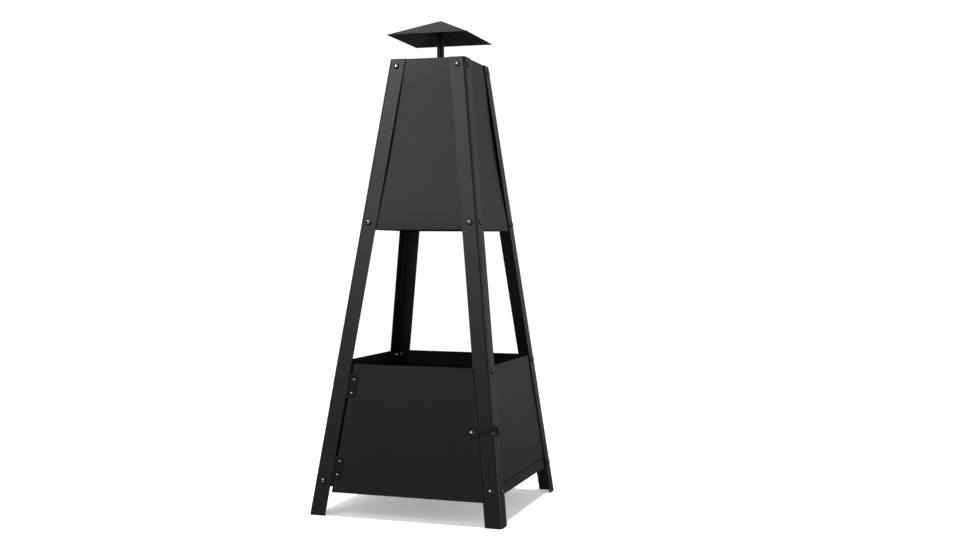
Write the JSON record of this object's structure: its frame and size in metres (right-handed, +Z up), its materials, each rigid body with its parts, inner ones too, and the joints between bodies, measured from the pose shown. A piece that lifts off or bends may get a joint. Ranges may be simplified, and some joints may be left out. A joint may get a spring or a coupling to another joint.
{
  "type": "garden chiminea",
  "caption": "Tapered square steel chiminea with open fire windows, hinged door with lever latch, loose fire grate in a base tray and a pyramid rain cap.",
  "frame": {"origin": "on the ground under the centre of the four legs", "axes": "+Z up, the door faces -Y, +X to the right as seen from the door side"},
  "size_m": [0.399, 0.399, 1],
  "materials": {
    "leg_steel": "satin black heat-resistant powder coat",
    "panel_steel": "satin black heat-resistant powder coat",
    "door_steel": "satin black heat-resistant powder coat",
    "tray_steel": "satin black heat-resistant powder coat",
    "grate_steel": "matt black, heat dulled",
    "cap_steel": "satin black heat-resistant powder coat",
    "bracket_steel": "satin black powder coat",
    "hinge_steel": "satin black paint",
    "latch_steel": "satin black paint",
    "bolt_black": "glossy black zinc",
    "fastener_steel": "dark zinc plated"
  },
  "bodies": {
    "root": {"base_bolts": "bolt_black", "base_nuts": "fastener_steel", "base_tray": "tray_steel", "cap_post": "cap_steel", "cap_post_nut": "fastener_steel", "cap_post_washer": "fastener_steel", "cap_strap_lower": "bracket_steel", "cap_strap_upper": "bracket_steel", "fire_grate_carriers": "grate_steel", "fire_grate_rods": "grate_steel", "firebox_bolts": "bolt_black", "firebox_nuts": "fastener_steel", "flue_lower_bolts": "bolt_black", "flue_lower_nuts": "fastener_steel", "flue_top_bolts": "bolt_black", "flue_top_nuts": "fastener_steel", "latch_keeper": "latch_steel", "leg_front_left": "leg_steel", "leg_front_right": "leg_steel", "leg_rear_left": "leg_steel", "leg_rear_right": "leg_steel", "lower_hinge_frame_leaf": "hinge_steel", "lower_hinge_pin": "fastener_steel", "lower_panel_left": "panel_steel", "lower_panel_rear": "panel_steel", "lower_panel_right": "panel_steel", "rain_cap": "cap_steel", "upper_hinge_frame_leaf": "hinge_steel", "upper_hinge_pin": "fastener_steel", "upper_panel_front": "panel_steel", "upper_panel_left": "panel_steel", "upper_panel_rear": "panel_steel", "upper_panel_right": "panel_steel"},
    "door": {"door_panel": "door_steel", "upper_hinge_door_leaf": "hinge_steel", "lower_hinge_door_leaf": "hinge_steel", "hinge_rivets": "fastener_steel", "latch_pivot_rivet": "fastener_steel"},
    "latch": {"latch_lever": "latch_steel"}
  },
  "joints": [
    {"name": "door_hinge", "type": "hinge", "parent": "root", "child": "door", "pos_m": [-0.13942, -0.17766, 0.17513], "axis": [-0.1283, -0.1283, -0.9834], "range_deg": [0, 140]},
    {"name": "latch_pivot", "type": "hinge", "parent": "door", "child": "latch", "pos_m": [0.13207, -0.17856, 0.17596], "axis": [0, -0.9916, 0.1294], "range_deg": [0, 120]}
  ]
}
